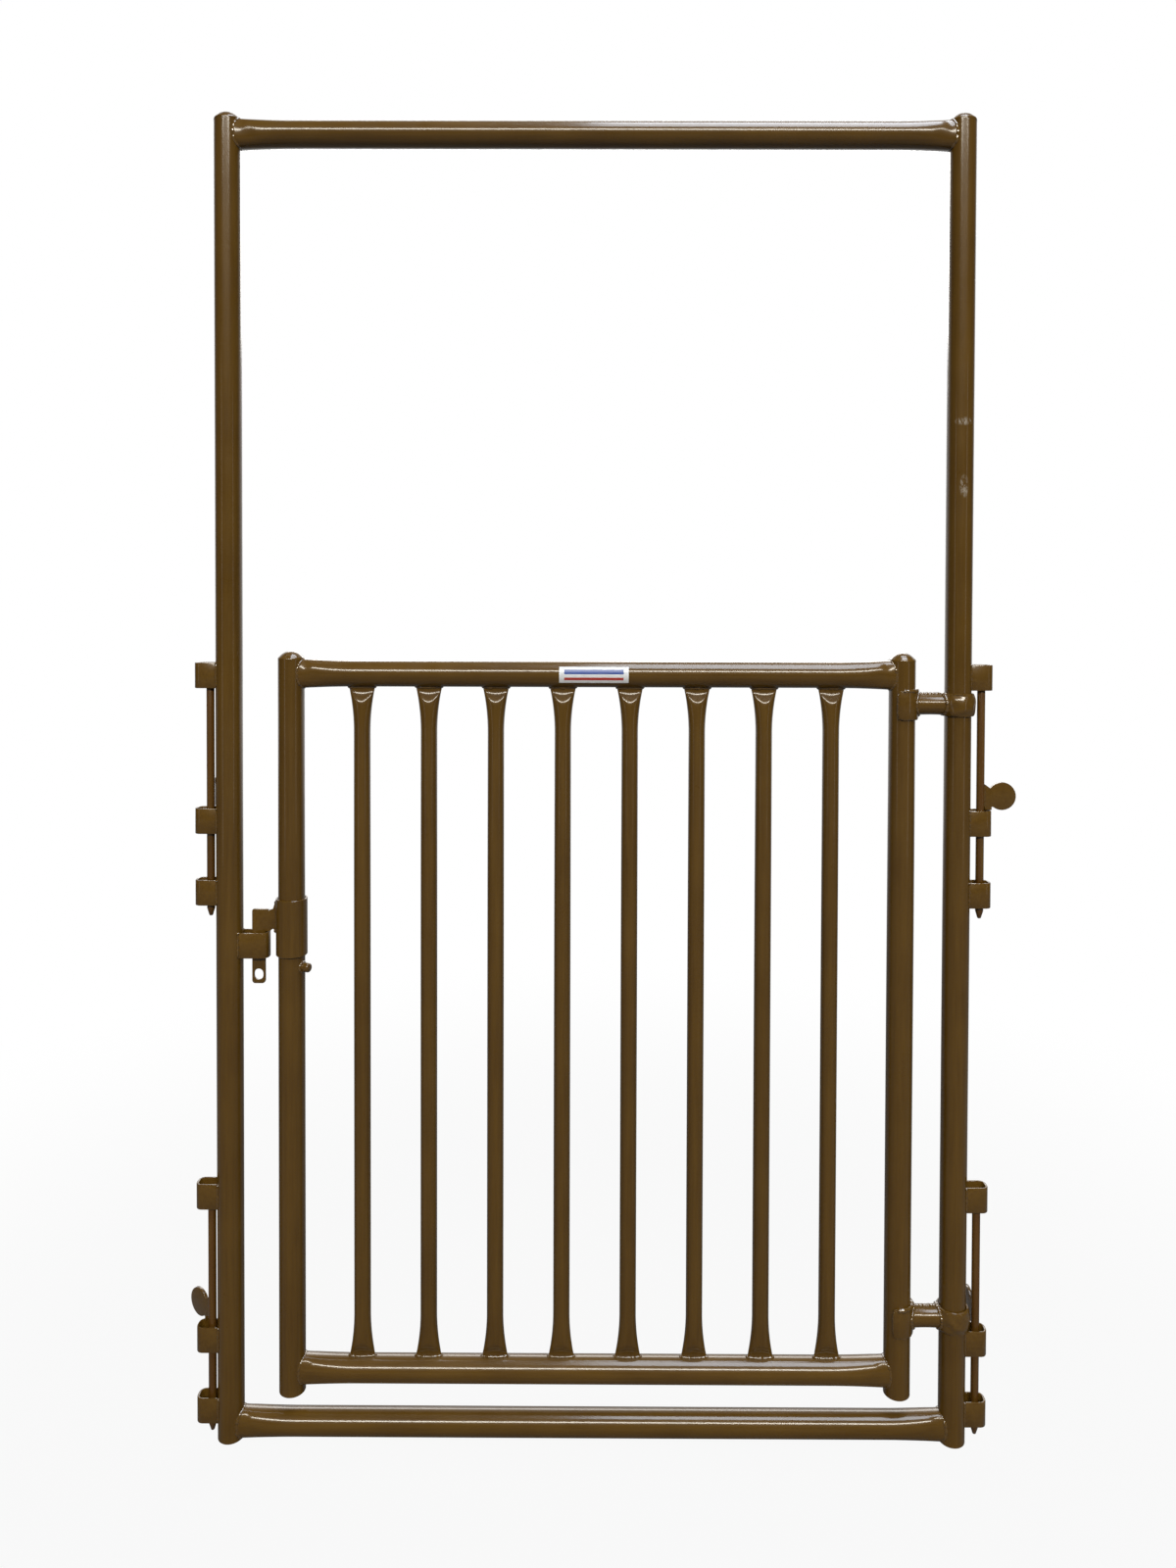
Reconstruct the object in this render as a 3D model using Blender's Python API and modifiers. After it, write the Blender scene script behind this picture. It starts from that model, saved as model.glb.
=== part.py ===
"""Bow gate for livestock panels: a tall tube frame with a picketed walk-through gate hung in its lower half.

Metres, +Z up. The origin is the centre of the hinge post's foot, which lies on the gate's hinge axis.
The frame runs along -X to the latch post, and -Y is the front.
"""

import math

import bmesh
import bpy
from mathutils import Vector

# Frame
OVERALL_WIDTH = 1.2192
POST_LENGTH = 2.134
TUBE_DIAMETER = 0.0422
TUBE_WALL = 0.0020
HEADER_INSET = 0.0004
SILL_HEIGHT = 0.0245
DOME_RISE = 0.0130
PLUG_DEPTH = 0.0060

# Flattened ends of the four rails
SWAGE_END_HEIGHT = 0.0470
SWAGE_END_DEPTH = 0.0340
SWAGE_LENGTH = 0.0900

# Gate
TOP_RAIL_HEIGHT = 1.2493
HINGE_GAP = 0.0900
LATCH_GAP = 0.1005
STILE_HEAD = 0.0230
STILE_TAIL = 0.0360
BOTTOM_RAIL_DROP = 0.0914
PICKET_COUNT = 8
PICKET_DIAMETER = 0.0267
PICKET_WALL = 0.0016
PICKET_SIDE_GAP = 0.1146
PICKET_END_WIDTH = 0.0420
PICKET_END_DEPTH = 0.0066
PICKET_FLARE = 0.0720

# Strap loops on both posts, and the keeper of the latch
STRAP_HEIGHT = 0.0410
STRAP_THICKNESS = 0.0030
STRAP_WIDTH = 0.0260
STRAP_CORNER = 0.0100
LOOP_REACH = 0.0540
LOWEST_LOOP_HEIGHT = 0.0490
LOOP_STEP_SHORT = 0.1160
LOOP_STEP_LONG = 0.2350
KEEPER_REACH = 0.0650
KEEPER_HEIGHT = 0.8095

# Drop pins
PIN_DIAMETER = 0.0127
PIN_TAPER = 0.0125
PIN_POINT_DIAMETER = 0.0058
PIN_BEVEL = 0.0008
PIN_BELOW_LOOP = 0.0185
PIN_TOP_INSET = 0.0120
PIN_OFFSET_HINGE_SIDE = 0.0375
PIN_OFFSET_LATCH_SIDE = 0.0303
PADDLE_DIAMETER = 0.0450
PADDLE_THICKNESS = 0.0055
PADDLE_NECK_LENGTH = 0.0140
PADDLE_TOP_STEP = 0.0100
PADDLE_GUSSET = 0.0070
PADDLE_FOOT_STEP = 0.0050
PADDLE_NOTCH = 0.0023

# Hinges
UPPER_HINGE_DROP = 0.0468
HINGE_LIFT_PLAY = 0.0045
COLLAR_HEIGHT = 0.0370
COLLAR_DIAMETER = 0.0560
COLLAR_RIM_DIAMETER = 0.0520
COLLAR_CLEARANCE = 0.0008
ARM_DIAMETER = 0.0340
ARM_WALL = 0.0030
SADDLE_HEIGHT = 0.0450
SADDLE_WALL = 0.0040
SADDLE_HALF_WRAP = math.radians(118)

# Latch
SLEEVE_LENGTH = 0.0920
SLEEVE_ABOVE_KEEPER = 0.0550
SLEEVE_CLEARANCE = 0.0006
SLEEVE_WALL = 0.0032
TONGUE_THICKNESS = 0.0050
TONGUE_WIDTH = 0.0215
TONGUE_CLEARANCE = 0.0040
TONGUE_BELOW_KEEPER = 0.0845
TONGUE_CORNER = 0.0050
HOOK_RISE = 0.0365
HOOK_NOTCH = 0.0020
HOOK_ROOT_RISE = 0.0530
HOOK_CORNER = 0.0030
RELIEF_HEIGHT = 0.0045
LOCK_HOLE_WIDTH = 0.0146
LOCK_HOLE_HEIGHT = 0.0180
LOCK_HOLE_FLOOR = 0.0058
STUD_DIAMETER = 0.0150
STUD_BEVEL = 0.0025
STUD_REACH = 0.0345
STUD_ANGLE = math.radians(-20)
STUD_DROP = 0.0112

# Gap between pieces that touch
SEAT_GAP = 0.0003

# A coped tube starts at this share of the radius of the piece it meets, and its end is then cut to fit
BLANK_START = 0.5

# Facet counts and mesh tolerances
TUBE_SIDES = 24
RAIL_SIDES = 16
PICKET_SIDES = 12
PIN_SIDES = 12
STUD_SIDES = 12
CORNER_STEPS = 4
SWAGE_STEPS = 4
DOME_STEPS = 5
COLLAR_STEPS = 6
SADDLE_STEPS = 16
PADDLE_STEPS = 20
HOLE_STEPS = 8
HOOK_CORNER_STEPS = 2
MERGE_DISTANCE = 0.00001
SHARP_EDGE = math.radians(40)

# Powder coat
PAINT_COLOUR = (0.078, 0.041, 0.0105, 1.0)
PAINT_ROUGHNESS = 0.28

# Sizes that follow from the ones above
TUBE_RADIUS = TUBE_DIAMETER / 2
LATCH_POST_X = TUBE_DIAMETER - OVERALL_WIDTH
HINGE_STILE_X = -HINGE_GAP
LATCH_STILE_X = LATCH_POST_X + LATCH_GAP
COPE_RADIUS = TUBE_RADIUS + SEAT_GAP

LOWER_LOOPS = {
    "bottom": LOWEST_LOOP_HEIGHT,
    "middle": LOWEST_LOOP_HEIGHT + LOOP_STEP_SHORT,
    "top": LOWEST_LOOP_HEIGHT + LOOP_STEP_SHORT + LOOP_STEP_LONG,
}
LOWER_HINGE_Z = LOWER_LOOPS["middle"] + STRAP_HEIGHT / 2 + SEAT_GAP + COLLAR_HEIGHT / 2
UPPER_HINGE_Z = TOP_RAIL_HEIGHT - UPPER_HINGE_DROP
UPPER_TOP_LOOP = UPPER_HINGE_Z + COLLAR_HEIGHT / 2 + HINGE_LIFT_PLAY + STRAP_HEIGHT / 2
UPPER_LOOPS = {
    "bottom": UPPER_TOP_LOOP - LOOP_STEP_LONG - LOOP_STEP_SHORT,
    "middle": UPPER_TOP_LOOP - LOOP_STEP_LONG,
    "top": UPPER_TOP_LOOP,
}
HEADER_Z = POST_LENGTH - TUBE_RADIUS - HEADER_INSET
BOTTOM_RAIL_Z = LOWER_HINGE_Z - BOTTOM_RAIL_DROP
STILE_BOTTOM = BOTTOM_RAIL_Z - STILE_TAIL
STILE_TOP = TOP_RAIL_HEIGHT + STILE_HEAD
KEEPER_TOP = KEEPER_HEIGHT + STRAP_HEIGHT / 2
SLEEVE_TOP = KEEPER_TOP + SLEEVE_ABOVE_KEEPER
SLEEVE_BOTTOM = SLEEVE_TOP - SLEEVE_LENGTH
SLEEVE_RADIUS = TUBE_RADIUS + SLEEVE_CLEARANCE + SLEEVE_WALL
SADDLE_RADIUS = TUBE_RADIUS + SEAT_GAP + SADDLE_WALL

# Each drop pin: side of the frame, its loops, how far its axis is from the post's, and where its
# paddle points, which is counted from straight outwards towards the back.
PINS = {
    "latch_side_upper": (-1, UPPER_LOOPS, PIN_OFFSET_LATCH_SIDE, math.radians(90)),
    "latch_side_lower": (-1, LOWER_LOOPS, PIN_OFFSET_LATCH_SIDE, math.radians(37)),
    "hinge_side_upper": (1, UPPER_LOOPS, PIN_OFFSET_HINGE_SIDE, 0.0),
    "hinge_side_lower": (1, LOWER_LOOPS, PIN_OFFSET_HINGE_SIDE, math.radians(90)),
}


# Scene, placing and materials


def clear_scene():
    for obj in list(bpy.data.objects):
        bpy.data.objects.remove(obj, do_unlink=True)


def new_collection(name):
    made = bpy.data.collections.new(name)
    bpy.context.scene.collection.children.link(made)
    return made


def coat(obj):
    """Gives the object its own brown powder-coat material."""
    paint = bpy.data.materials.new(obj.name + "_paint")
    paint.use_nodes = True
    shader = paint.node_tree.nodes["Principled BSDF"]
    shader.inputs["Base Color"].default_value = PAINT_COLOUR
    shader.inputs["Roughness"].default_value = PAINT_ROUGHNESS
    shader.inputs["Metallic"].default_value = 0.0
    obj.data.materials.append(paint)


def place(obj, where, parent=None, turn=None):
    """Links a piece at a place given in the part's frame, under an unturned empty or piece if it has one."""
    parts.objects.link(obj)
    obj.parent = parent
    carried = Vector(where)
    while parent:
        carried -= parent.location
        parent = parent.parent
    obj.location = carried
    if turn:
        obj.rotation_euler = turn
    coat(obj)
    return obj


def axis_empty(name, where):
    empty = bpy.data.objects.new(name, None)
    empty.location = where
    parts.objects.link(empty)
    return empty


# Shapes


def arc(centre, radius, start, end, steps):
    """Points along an arc in the plane, both ends included, with angles in radians."""
    angles = [start + (end - start) * i / steps for i in range(steps + 1)]
    return [(centre[0] + radius * math.cos(a), centre[1] + radius * math.sin(a)) for a in angles]


def turned(name, profile, sides, closed=False):
    """A solid turned about local Z from a profile of (radius, height) that runs down its outer side."""
    mesh = bpy.data.meshes.new(name)
    edges = [(i, i + 1) for i in range(len(profile) - 1)]
    if closed:
        edges.append((len(profile) - 1, 0))
    mesh.from_pydata([(r, 0.0, z) for r, z in profile], edges, [])
    obj = bpy.data.objects.new(name, mesh)
    screw = obj.modifiers.new("turn", "SCREW")
    screw.steps = sides
    screw.render_steps = sides
    screw.use_merge_vertices = True
    screw.merge_threshold = MERGE_DISTANCE
    return obj


def straight_tube(name, radius, wall, low, high, sides=TUBE_SIDES):
    profile = [(radius, high), (radius, low), (radius - wall, low), (radius - wall, high)]
    return turned(name, profile, sides, closed=True)


def outline_plate(name, loops, thickness):
    """A flat plate: the first loop is its outline, any others are holes."""
    curve = bpy.data.curves.new(name, "CURVE")
    curve.dimensions = "2D"
    curve.fill_mode = "BOTH"
    curve.extrude = thickness / 2
    for loop in loops:
        spline = curve.splines.new("POLY")
        spline.points.add(len(loop) - 1)
        spline.use_cyclic_u = True
        for point, (x, y) in zip(spline.points, loop):
            point.co = (x, y, 0.0, 1.0)
    return bpy.data.objects.new(name, curve)


def swage_stations(length, radius, half_wide, half_deep, run):
    """(place, half width, half depth) along a round tube whose two ends are pressed flat and flare out."""
    near = []
    for i in range(SWAGE_STEPS + 1):
        along = i / SWAGE_STEPS
        pressed = (1 - along) ** 2
        wide = radius + (half_wide - radius) * pressed
        deep = radius + (half_deep - radius) * pressed
        near.append((run * along, wide, deep))
    far = [(length - at, wide, deep) for at, wide, deep in reversed(near)]
    return near + far


def lofted_tube(name, stations, wall, sides):
    """A hollow tube along local Z through elliptical stations, open at both ends."""
    shape = bmesh.new()
    skins = []
    for inset in (0.0, wall):
        rings = []
        for at, wide, deep in stations:
            ring = []
            for i in range(sides):
                angle = 2 * math.pi * i / sides
                x = (wide - inset) * math.cos(angle)
                y = (deep - inset) * math.sin(angle)
                ring.append(shape.verts.new((x, y, at)))
            rings.append(ring)
        skins.append(rings)
    outer, inner = skins
    bands = list(zip(outer, outer[1:])) + list(zip(inner, inner[1:]))
    bands += [(inner[0], outer[0]), (outer[-1], inner[-1])]
    for first, second in bands:
        for i in range(sides):
            j = (i + 1) % sides
            shape.faces.new((first[i], first[j], second[j], second[i]))
    bmesh.ops.recalc_face_normals(shape, faces=shape.faces)
    mesh = bpy.data.meshes.new(name)
    shape.to_mesh(mesh)
    shape.free()
    mesh.shade_smooth()
    mesh.set_sharp_from_angle(angle=SHARP_EDGE)
    return bpy.data.objects.new(name, mesh)


def upright_cutter(name, x, low, high, radius):
    """A hidden upright cylinder that copes whatever runs into a round piece."""
    shape = bmesh.new()
    bmesh.ops.create_cone(
        shape, cap_ends=True, segments=TUBE_SIDES, radius1=radius, radius2=radius, depth=high - low
    )
    mesh = bpy.data.meshes.new(name)
    shape.to_mesh(mesh)
    shape.free()
    cutter = bpy.data.objects.new(name, mesh)
    cutter.location = (x, 0.0, (low + high) / 2)
    cutter.hide_render = True
    cutter.display_type = "WIRE"
    cutters.objects.link(cutter)
    return cutter


def cope(obj, *against):
    for cutter in against:
        cut = obj.modifiers.new("cope_" + cutter.name, "BOOLEAN")
        cut.operation = "DIFFERENCE"
        cut.object = cutter


# Tubes, caps and plugs


def dome_cap(name, x, z, parent=None):
    """A shallow welded dome that closes the top of an upright tube."""
    sphere = (TUBE_RADIUS**2 + DOME_RISE**2) / (2 * DOME_RISE)
    edge = math.asin(min(1.0, TUBE_RADIUS / sphere))
    profile = []
    for i in range(DOME_STEPS + 1):
        lean = edge * i / DOME_STEPS
        profile.append((sphere * math.sin(lean), sphere * math.cos(lean) - sphere + DOME_RISE))
    profile.append((0.0, 0.0))
    place(turned(name, profile, TUBE_SIDES), (x, 0.0, z + SEAT_GAP), parent)


def end_plug(name, x, z, parent=None):
    """A disc set flush in the bottom of an upright tube."""
    radius = TUBE_RADIUS - TUBE_WALL - SEAT_GAP
    profile = [(0.0, PLUG_DEPTH), (radius, PLUG_DEPTH), (radius, 0.0), (0.0, 0.0)]
    place(turned(name, profile, TUBE_SIDES), (x, 0.0, z), parent)


def rail(name, left_x, right_x, z, ends, parent=None):
    """A swaged rail between two upright tubes, coped round both of them."""
    reach = TUBE_RADIUS * BLANK_START
    length = right_x - left_x - 2 * reach
    stations = swage_stations(
        length, TUBE_RADIUS, SWAGE_END_HEIGHT / 2, SWAGE_END_DEPTH / 2, SWAGE_LENGTH
    )
    tube = lofted_tube(name, stations, TUBE_WALL, RAIL_SIDES)
    place(tube, (left_x + reach, 0.0, z), parent, (0.0, math.pi / 2, 0.0))
    cope(tube, *ends)


def make_frame():
    posts = {"latch_post": LATCH_POST_X, "hinge_post": 0.0}
    ends = []
    for name, x in posts.items():
        place(straight_tube(name, TUBE_RADIUS, TUBE_WALL, 0.0, POST_LENGTH), (x, 0.0, 0.0))
        dome_cap(name + "_cap", x, POST_LENGTH)
        end_plug(name + "_foot", x, 0.0)
        ends.append(upright_cutter(name + "_cope", x, -TUBE_RADIUS, POST_LENGTH + TUBE_RADIUS, COPE_RADIUS))
    rail("header_rail", LATCH_POST_X, 0.0, HEADER_Z, ends)
    rail("sill_rail", LATCH_POST_X, 0.0, SILL_HEIGHT, ends)


def make_pickets(gate):
    first = LATCH_STILE_X + PICKET_SIDE_GAP
    last = HINGE_STILE_X - PICKET_SIDE_GAP
    low = BOTTOM_RAIL_Z + TUBE_RADIUS + SEAT_GAP
    high = TOP_RAIL_HEIGHT - TUBE_RADIUS - SEAT_GAP
    stations = swage_stations(
        high - low, PICKET_DIAMETER / 2, PICKET_END_WIDTH / 2, PICKET_END_DEPTH / 2, PICKET_FLARE
    )
    for i in range(PICKET_COUNT):
        x = first + (last - first) * i / (PICKET_COUNT - 1)
        picket = lofted_tube(f"picket_{i + 1}", stations, PICKET_WALL, PICKET_SIDES)
        place(picket, (x, 0.0, low), gate)


def make_gate(gate):
    stiles = {"latch_stile": LATCH_STILE_X, "hinge_stile": HINGE_STILE_X}
    ends = []
    for name, x in stiles.items():
        tube = straight_tube(name, TUBE_RADIUS, TUBE_WALL, 0.0, STILE_TOP - STILE_BOTTOM)
        place(tube, (x, 0.0, STILE_BOTTOM), gate)
        dome_cap(name + "_cap", x, STILE_TOP, gate)
        end_plug(name + "_plug", x, STILE_BOTTOM, gate)
        low = STILE_BOTTOM - TUBE_RADIUS
        high = STILE_TOP + TUBE_RADIUS
        ends.append(upright_cutter(name + "_cope", x, low, high, COPE_RADIUS))
    rail("gate_top_rail", LATCH_STILE_X, HINGE_STILE_X, TOP_RAIL_HEIGHT, ends, gate)
    rail("gate_bottom_rail", LATCH_STILE_X, HINGE_STILE_X, BOTTOM_RAIL_Z, ends, gate)
    make_pickets(gate)
    make_stop_stud(gate, ends[0])


# Hinges


def collar(name, z, gate):
    """A pressed eye that turns on the hinge post, with a bulging outer face."""
    half = COLLAR_HEIGHT / 2
    bulge = (COLLAR_DIAMETER - COLLAR_RIM_DIAMETER) / 2
    profile = []
    for i in range(COLLAR_STEPS + 1):
        height = half * (1 - 2 * i / COLLAR_STEPS)
        swell = 1 - (height / half) ** 2
        profile.append((COLLAR_RIM_DIAMETER / 2 + bulge * swell, height))
    bore = TUBE_RADIUS + COLLAR_CLEARANCE
    profile += [(bore, -half), (bore, half)]
    place(turned(name, profile, TUBE_SIDES, closed=True), (0.0, 0.0, z), gate)


def saddle(name, z, gate):
    """A bent plate round the side of the hinge stile that faces the hinge post."""
    inner = TUBE_RADIUS + SEAT_GAP
    loop = arc((0, 0), SADDLE_RADIUS, -SADDLE_HALF_WRAP, SADDLE_HALF_WRAP, SADDLE_STEPS)
    loop += arc((0, 0), inner, SADDLE_HALF_WRAP, -SADDLE_HALF_WRAP, SADDLE_STEPS)
    place(outline_plate(name, [loop], SADDLE_HEIGHT), (HINGE_STILE_X, 0.0, z), gate)


def arm(name, z, gate, ends):
    """The short tube that joins saddle and collar, coped round both."""
    near = HINGE_STILE_X + SADDLE_RADIUS * BLANK_START
    far = -COLLAR_DIAMETER / 2 * BLANK_START
    tube = straight_tube(name, ARM_DIAMETER / 2, ARM_WALL, 0.0, far - near)
    place(tube, (near, 0.0, z), gate, (0.0, math.pi / 2, 0.0))
    cope(tube, *ends)


def make_hinges(gate):
    low = LOWER_HINGE_Z - SADDLE_HEIGHT
    high = UPPER_HINGE_Z + SADDLE_HEIGHT
    round_collar = upright_cutter("collar_cope", 0.0, low, high, COLLAR_DIAMETER / 2 + SEAT_GAP)
    round_saddle = upright_cutter("saddle_cope", HINGE_STILE_X, low, high, SADDLE_RADIUS + SEAT_GAP)
    for level, z in (("upper", UPPER_HINGE_Z), ("lower", LOWER_HINGE_Z)):
        collar(level + "_hinge_collar", z, gate)
        saddle(level + "_hinge_saddle", z, gate)
        arm(level + "_hinge_arm", z, gate, (round_collar, round_saddle))


# Strap loops and keeper


def strap_loop(name, side, x, z, reach):
    """A U of flat bar whose two legs meet the post's round side."""
    half = STRAP_WIDTH / 2
    inner_half = half - STRAP_THICKNESS
    inner_corner = STRAP_CORNER - STRAP_THICKNESS
    inner_reach = reach - STRAP_THICKNESS
    outer_lean = math.asin(half / COPE_RADIUS)
    inner_lean = math.asin(inner_half / COPE_RADIUS)
    quarter = math.pi / 2
    loop = arc((0, 0), COPE_RADIUS, inner_lean, outer_lean, 1)
    loop += arc((reach - STRAP_CORNER, half - STRAP_CORNER), STRAP_CORNER, quarter, 0, CORNER_STEPS)
    loop += arc((reach - STRAP_CORNER, STRAP_CORNER - half), STRAP_CORNER, 0, -quarter, CORNER_STEPS)
    loop += arc((0, 0), COPE_RADIUS, -outer_lean, -inner_lean, 1)
    centre = inner_reach - inner_corner
    loop += arc((centre, inner_corner - inner_half), inner_corner, -quarter, 0, CORNER_STEPS)
    loop += arc((centre, inner_half - inner_corner), inner_corner, 0, quarter, CORNER_STEPS)
    turn = (0.0, 0.0, 0.0 if side > 0 else math.pi)
    place(outline_plate(name, [loop], STRAP_HEIGHT), (x, 0.0, z), None, turn)


def make_loops():
    sides = (("latch_side", -1, LATCH_POST_X), ("hinge_side", 1, 0.0))
    for label, side, x in sides:
        for level, heights in (("upper", UPPER_LOOPS), ("lower", LOWER_LOOPS)):
            for spot, z in heights.items():
                strap_loop(f"{label}_{level}_{spot}_loop", side, x, z, LOOP_REACH)
    strap_loop("latch_keeper", 1, LATCH_POST_X, KEEPER_HEIGHT, KEEPER_REACH)


# Drop pins


def pin_rod(name, x, low, high):
    radius = PIN_DIAMETER / 2
    point = PIN_POINT_DIAMETER / 2
    top = high - low
    profile = [
        (0.0, top),
        (radius - PIN_BEVEL, top),
        (radius, top - PIN_BEVEL),
        (radius, PIN_TAPER),
        (point, PIN_BEVEL),
        (point - PIN_BEVEL, 0.0),
        (0.0, 0.0),
    ]
    return place(turned(name, profile, PIN_SIDES), (x, 0.0, low))


def pin_paddle(name, rod, side, x, z, angle):
    """The flat thumb paddle welded to a drop pin. Its foot stands on the middle loop."""
    radius = PADDLE_DIAMETER / 2
    root = PIN_DIAMETER / 2 + SEAT_GAP
    rise = radius - PADDLE_TOP_STEP
    drop = radius - PADDLE_FOOT_STEP
    joint = PIN_DIAMETER / 2 + PADDLE_NECK_LENGTH
    centre = joint + math.sqrt(radius**2 - drop**2)
    foot = joint - PADDLE_NOTCH
    loop = [(root, -radius), (foot, -radius), (foot, -drop)]
    start = math.asin(drop / radius) - math.pi
    end = math.pi - math.asin(rise / radius)
    loop += arc((centre, 0.0), radius, start, end, PADDLE_STEPS)
    loop.append((root, rise + PADDLE_GUSSET))
    outward = -angle + math.pi if side < 0 else angle
    turn = (math.pi / 2, 0.0, outward)
    plate = outline_plate(name, [loop], PADDLE_THICKNESS)
    place(plate, (x, 0.0, z + SEAT_GAP + radius), rod, turn)


def make_pins():
    for label, (side, loops, offset, angle) in PINS.items():
        post_x = LATCH_POST_X if side < 0 else 0.0
        x = post_x + side * offset
        low = loops["bottom"] - STRAP_HEIGHT / 2 - PIN_BELOW_LOOP
        high = loops["top"] + STRAP_HEIGHT / 2 - PIN_TOP_INSET
        rod = pin_rod(label + "_pin", x, low, high)
        stand = loops["middle"] + STRAP_HEIGHT / 2
        pin_paddle(label + "_paddle", rod, side, x, stand, angle)


# Latch


def make_sleeve(latch):
    sleeve = straight_tube("latch_sleeve", SLEEVE_RADIUS, SLEEVE_WALL, 0.0, SLEEVE_LENGTH)
    place(sleeve, (LATCH_STILE_X, 0.0, SLEEVE_BOTTOM), latch)


def tongue_edges():
    """Left and right edge of the tongue, counted from the latch post's axis."""
    right = KEEPER_REACH - STRAP_THICKNESS - TONGUE_CLEARANCE
    return right - TONGUE_WIDTH, right


def make_tongue(latch):
    """The hook plate on the sleeve: its shoulder stands on the keeper and its tongue drops through."""
    left, right = tongue_edges()
    root = LATCH_GAP - SLEEVE_RADIUS - SEAT_GAP
    shoulder = KEEPER_REACH
    relief = (shoulder + root) / 2
    notch = relief - (root - shoulder) / 2 - HOOK_NOTCH
    foot = -TONGUE_BELOW_KEEPER
    quarter = math.pi / 2
    corner = foot + TONGUE_CORNER
    top_corner = (left + HOOK_CORNER, HOOK_RISE - HOOK_CORNER)
    loop = [(root, SEAT_GAP), (relief, RELIEF_HEIGHT), (shoulder, SEAT_GAP), (right, SEAT_GAP)]
    loop += arc((right - TONGUE_CORNER, corner), TONGUE_CORNER, 0, -quarter, CORNER_STEPS)
    loop += arc((left + TONGUE_CORNER, corner), TONGUE_CORNER, -quarter, -2 * quarter, CORNER_STEPS)
    loop += arc(top_corner, HOOK_CORNER, 2 * quarter, quarter, HOOK_CORNER_STEPS)
    loop += [(notch, HOOK_RISE), (notch, HOOK_RISE - HOOK_NOTCH), (relief, HOOK_RISE)]
    loop.append((root, HOOK_ROOT_RISE))
    hole_radius = LOCK_HOLE_WIDTH / 2
    middle = (left + right) / 2
    hole_low = foot + LOCK_HOLE_FLOOR + hole_radius
    hole_high = hole_low + LOCK_HOLE_HEIGHT - LOCK_HOLE_WIDTH
    hole = arc((middle, hole_high), hole_radius, 0, 2 * quarter, HOLE_STEPS)
    hole += arc((middle, hole_low), hole_radius, 2 * quarter, 4 * quarter, HOLE_STEPS)
    plate = outline_plate("latch_tongue", [loop, hole], TONGUE_THICKNESS)
    place(plate, (LATCH_POST_X, 0.0, KEEPER_TOP), latch, (quarter, 0.0, 0.0))


def make_stop_stud(gate, stile_cutter):
    """A stud welded to the latch stile, which catches the sleeve when the gate is open."""
    radius = STUD_DIAMETER / 2
    start = TUBE_RADIUS * BLANK_START
    length = STUD_REACH - start
    profile = [
        (0.0, length),
        (radius - STUD_BEVEL, length),
        (radius, length - STUD_BEVEL),
        (radius, 0.0),
        (0.0, 0.0),
    ]
    stud = turned("latch_stop_stud", profile, STUD_SIDES)
    away = Vector((math.cos(STUD_ANGLE), math.sin(STUD_ANGLE), 0.0))
    z = SLEEVE_BOTTOM - STUD_DROP - radius
    where = Vector((LATCH_STILE_X, 0.0, z)) + away * start
    place(stud, where, gate, (0.0, math.pi / 2, STUD_ANGLE))
    cope(stud, stile_cutter)


clear_scene()
parts = new_collection("bow_gate")
cutters = new_collection("bow_gate_cutters")
gate_axis = axis_empty("gate_axis", (0.0, 0.0, 0.0))
latch_axis = axis_empty("latch_axis", (LATCH_STILE_X, 0.0, 0.0))
latch_axis.parent = gate_axis
make_frame()
make_loops()
make_gate(gate_axis)
make_hinges(gate_axis)
make_sleeve(latch_axis)
make_tongue(latch_axis)
make_pins()
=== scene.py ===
"""Looks of the bow gate: round tube with pressed ends under glossy brown powder coat, with its weld beads,
scuffs and a plain label, on a pale floor in soft studio light."""

import math
import random

import bmesh
import bpy
from mathutils import Matrix, Vector, noise


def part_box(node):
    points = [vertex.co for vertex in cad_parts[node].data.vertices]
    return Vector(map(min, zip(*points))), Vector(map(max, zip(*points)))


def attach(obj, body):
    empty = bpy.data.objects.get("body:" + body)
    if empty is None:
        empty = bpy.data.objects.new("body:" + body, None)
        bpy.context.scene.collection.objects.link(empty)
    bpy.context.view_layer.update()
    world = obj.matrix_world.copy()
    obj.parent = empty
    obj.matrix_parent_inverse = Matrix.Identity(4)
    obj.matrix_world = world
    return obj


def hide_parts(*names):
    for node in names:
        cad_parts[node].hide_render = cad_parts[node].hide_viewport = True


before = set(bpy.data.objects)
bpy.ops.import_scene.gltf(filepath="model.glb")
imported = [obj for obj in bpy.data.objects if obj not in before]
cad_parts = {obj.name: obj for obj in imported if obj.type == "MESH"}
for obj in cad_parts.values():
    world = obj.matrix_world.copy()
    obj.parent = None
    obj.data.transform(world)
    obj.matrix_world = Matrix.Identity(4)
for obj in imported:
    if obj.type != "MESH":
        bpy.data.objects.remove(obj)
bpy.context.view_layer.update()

# Camera, from a fit to the tube edges of the 1200 x 1600 photograph
PHOTO_HEIGHT = 1600
FOCAL_PIXELS = 1109.5
HORIZON_PIXEL = 632.8
CAMERA_PLACE = Vector((-0.5918, -1.754, 1.3688))
CAMERA_PITCH = 0.01837
CAMERA_YAW = -0.0031
CAMERA_ROLL = 0.00305
SENSOR = 36.0

# Walls and clearances, as in the solids
TUBE_WALL = 0.0020
PICKET_WALL = 0.0016
ARM_WALL = 0.0030
SEAT_GAP = 0.0003
COLLAR_CLEARANCE = 0.0008
SLEEVE_CLEARANCE = 0.0006

# Broken and rounded edges
TUBE_RIM = 0.0005
SLEEVE_RIM = 0.0007
PLATE_ROUNDING = 0.0009
STRAP_ROUNDING = 0.0008
MERGE_DISTANCE = 0.00001
FLAT_UP_TO = math.radians(1)
ROUNDED_FROM = math.radians(50)

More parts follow.
